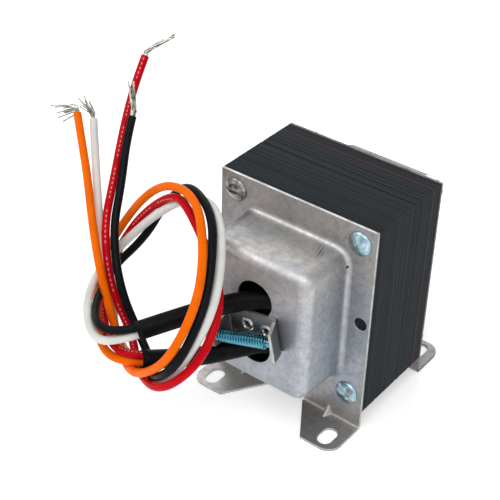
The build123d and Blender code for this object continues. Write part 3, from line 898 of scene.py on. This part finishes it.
def floor():
    """Pale floor that stays white to the eye and keeps a faint shadow."""
    bm = bmesh.new()
    bmesh.ops.create_grid(bm, x_segments=1, y_segments=1, size=FLOOR_SIZE)
    mesh = bpy.data.meshes.new("floor")
    bm.to_mesh(mesh)
    bm.free()
    piece = bpy.data.objects.new("floor", mesh)
    bpy.context.scene.collection.objects.link(piece)
    material, _, shader = new_material("pale_floor", 0.0, 0.9, 0.0)
    shader.inputs["Base Color"].default_value = (FLOOR_TONE, FLOOR_TONE, FLOOR_TONE, 1)
    shader.inputs["Emission Color"].default_value = (1, 1, 1, 1)
    shader.inputs["Emission Strength"].default_value = FLOOR_GLOW
    mesh.materials.append(material)


def soft_lamp(name, place, size, power):
    """Square area lamp turned towards the aim."""
    data = bpy.data.lights.new(name, "AREA")
    data.shape = "SQUARE"
    data.size = size
    data.energy = power
    lamp = bpy.data.objects.new(name, data)
    bpy.context.scene.collection.objects.link(lamp)
    lamp.location = place
    lamp.rotation_euler = (LAMP_AIM - Vector(place)).to_track_quat("-Z", "Y").to_euler()


def camera():
    """Camera at the photograph's eye point."""
    data = bpy.data.cameras.new("camera")
    data.lens = CAMERA_LENS
    data.sensor_width = SENSOR_WIDTH
    data.clip_start = CAMERA_NEAR
    viewer = bpy.data.objects.new("camera", data)
    bpy.context.scene.collection.objects.link(viewer)
    axes = Matrix((CAMERA_RIGHT, CAMERA_UP, CAMERA_BACK)).transposed()
    viewer.matrix_world = Matrix.Translation(CAMERA_EYE) @ axes.to_4x4()
    bpy.context.scene.camera = viewer


# Assembly

bpy.context.scene.view_settings.view_transform = "Standard"

front_sheet = pressed_sheet("front_bell_sheet", (0.43, 0.455, 0.50), (0.49, 0.475, 0.455), True)
# The rear bell is the same steel as the front one, painted darker: painted shade that keeps its top from
# glaring under the back lamp
shaded_rear_sheet = pressed_sheet("shaded_rear_bell_sheet", (0.31, 0.32, 0.33), (0.31, 0.305, 0.30), False)
clamp_sheet = pressed_sheet("clamp_sheet", (0.22, 0.22, 0.215), (0.22, 0.22, 0.215), False)
# Cut edges of the front bell and the clamp, lighter than their sheet: a painted highlight along the edges
edge_highlight = zinc_plate("edge_highlight", (0.36, 0.355, 0.35), (0.46, 0.455, 0.45), (0.56, 0.56, 0.55), 0.55)
varnished_edge = zinc_plate(
    "varnished_edge", (0.07, 0.07, 0.07), (0.10, 0.10, 0.10), (0.14, 0.14, 0.13), 0.45,
)
blue_zinc = zinc_plate("blue_zinc", (0.16, 0.16, 0.16), (0.26, 0.40, 0.47), (0.48, 0.64, 0.71), 0.18)
bright_zinc = zinc_plate("bright_zinc", (0.34, 0.34, 0.33), (0.48, 0.48, 0.47), (0.62, 0.62, 0.61), 0.16)
eyelet_zinc = zinc_plate("eyelet_zinc", (0.40, 0.39, 0.38), (0.56, 0.55, 0.54), (0.74, 0.73, 0.72), 0.30)
tinned = zinc_plate("tinned_strands", (0.10, 0.095, 0.085), (0.38, 0.37, 0.33), (0.78, 0.76, 0.71), 0.22)
fine_tinned = zinc_plate(
    "fine_strands", (0.10, 0.095, 0.085), (0.22, 0.215, 0.19), (0.42, 0.41, 0.38), 0.26,
)
worn_zinc = zinc_plate("worn_zinc", (0.12, 0.12, 0.115), (0.25, 0.25, 0.24), (0.44, 0.44, 0.43), 0.24)
screw_zinc = two_toned(
    "screw_zinc", 1.0, 0.24, 0.5, (120, 2.0), [(0.35, (0.05, 0.25, 0.34)), (0.65, (0.14, 0.38, 0.47))],
)
moulded_bobbin = two_toned(
    "moulded_bobbin", 0.0, 0.5, 0.5, (120,), [(0.3, (0.62, 0.58, 0.47)), (0.7, (0.74, 0.70, 0.60))],
)
insulating_film = two_toned(
    "insulating_film", 0.0, 0.35, 0.5, (140,), [(0.3, (0.42, 0.27, 0.08)), (0.7, (0.58, 0.40, 0.15))],
)
# Near-black coil wrap: painted shade that keeps the insides of the outlets dark
painted_shade_wrap = two_toned(
    "painted_shade_wrap", 0.0, 0.6, 0.1, (180,), [(0.3, (0.004, 0.004, 0.004)), (0.7, (0.009, 0.008, 0.007))],
)
sleeving = satin_sleeving()

laminated_core(lamination_steel())
dressed_node("front_end_bell", [front_sheet, edge_highlight], BELL_EDGE, BELL_SHEET)
dressed_node("rear_end_bell", [shaded_rear_sheet, varnished_edge], BELL_EDGE, BELL_SHEET)
dressed_node("knockout_clamp", [clamp_sheet, edge_highlight], CLAMP_EDGE, CLAMP_SHEET)
domed_bolts(blue_zinc)
dressed_node("slotted_bolt", [worn_zinc], SLOTTED_BOLT_EDGE)
clamp_eyelets(eyelet_zinc)
dressed_node("lock_washers", [bright_zinc], WASHER_EDGE)
dressed_node("hex_nuts", [bright_zinc], NUT_EDGE)
clamp_screw(screw_zinc)

coil_finishes = (
    ("bobbin", moulded_bobbin),
    ("primary_winding", enamelled_wire()),
    ("winding_insulation", insulating_film),
    ("secondary_winding", enamelled_wire()),
    ("coil_wrap", painted_shade_wrap),
)
for name, material in coil_finishes:
    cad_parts[name].data.materials.clear()
    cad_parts[name].data.materials.append(material)

upper_sleeve = lead_sleeve("upper_sleeving", "upper_lead_sleeve", UPPER_SLEEVE, sleeving)
lower_sleeve = lead_sleeve("lower_sleeving", "lower_lead_sleeve", LOWER_SLEEVE, sleeving)

# Bare ends: number of wires, wire radius, bundle radius, turns of twist, fray and where it begins
black_bundle = (9, 0.33, 0.80, 1.1, 0.5, 0.6)
white_bundle = (14, 0.20, 0.55, 0.9, 1.4, 0.35)
red_bundle = (9, 0.33, 0.75, 1.2, 0.35, 0.6)
orange_bundle = (13, 0.22, 0.65, 0.2, 1.7, 0.3)
black = lead_insulation("black_insulation", (0.006, 0.008, 0.0095), 0.85, 0.30)
white = lead_insulation("white_insulation", (0.74, 0.74, 0.71), 0.92, 0.36)
red = lead_insulation("red_insulation", (0.56, 0.003, 0.009), 0.85, 0.32, RED_PRINT)
orange = lead_insulation("orange_insulation", (0.92, 0.15, 0.0), 0.90, 0.34)
black_strands = (BLACK_TIP, black_bundle, tinned)
white_strands = (WHITE_TIP, white_bundle, fine_tinned)
red_strands = (RED_TIP, red_bundle, tinned)
orange_strands = (ORANGE_TIP, orange_bundle, fine_tinned)
lead("black", UPPER_SLEEVE, LEAD_OFFSET, BLACK_ROUTE, black, black_strands)
lead("white", UPPER_SLEEVE, -LEAD_OFFSET, WHITE_ROUTE, white, white_strands)
lead("red", LOWER_SLEEVE, LEAD_OFFSET, RED_ROUTE, red, red_strands)
lead("orange", LOWER_SLEEVE, -LEAD_OFFSET, ORANGE_ROUTE, orange, orange_strands)

studio()

bpy.context.view_layer.update()
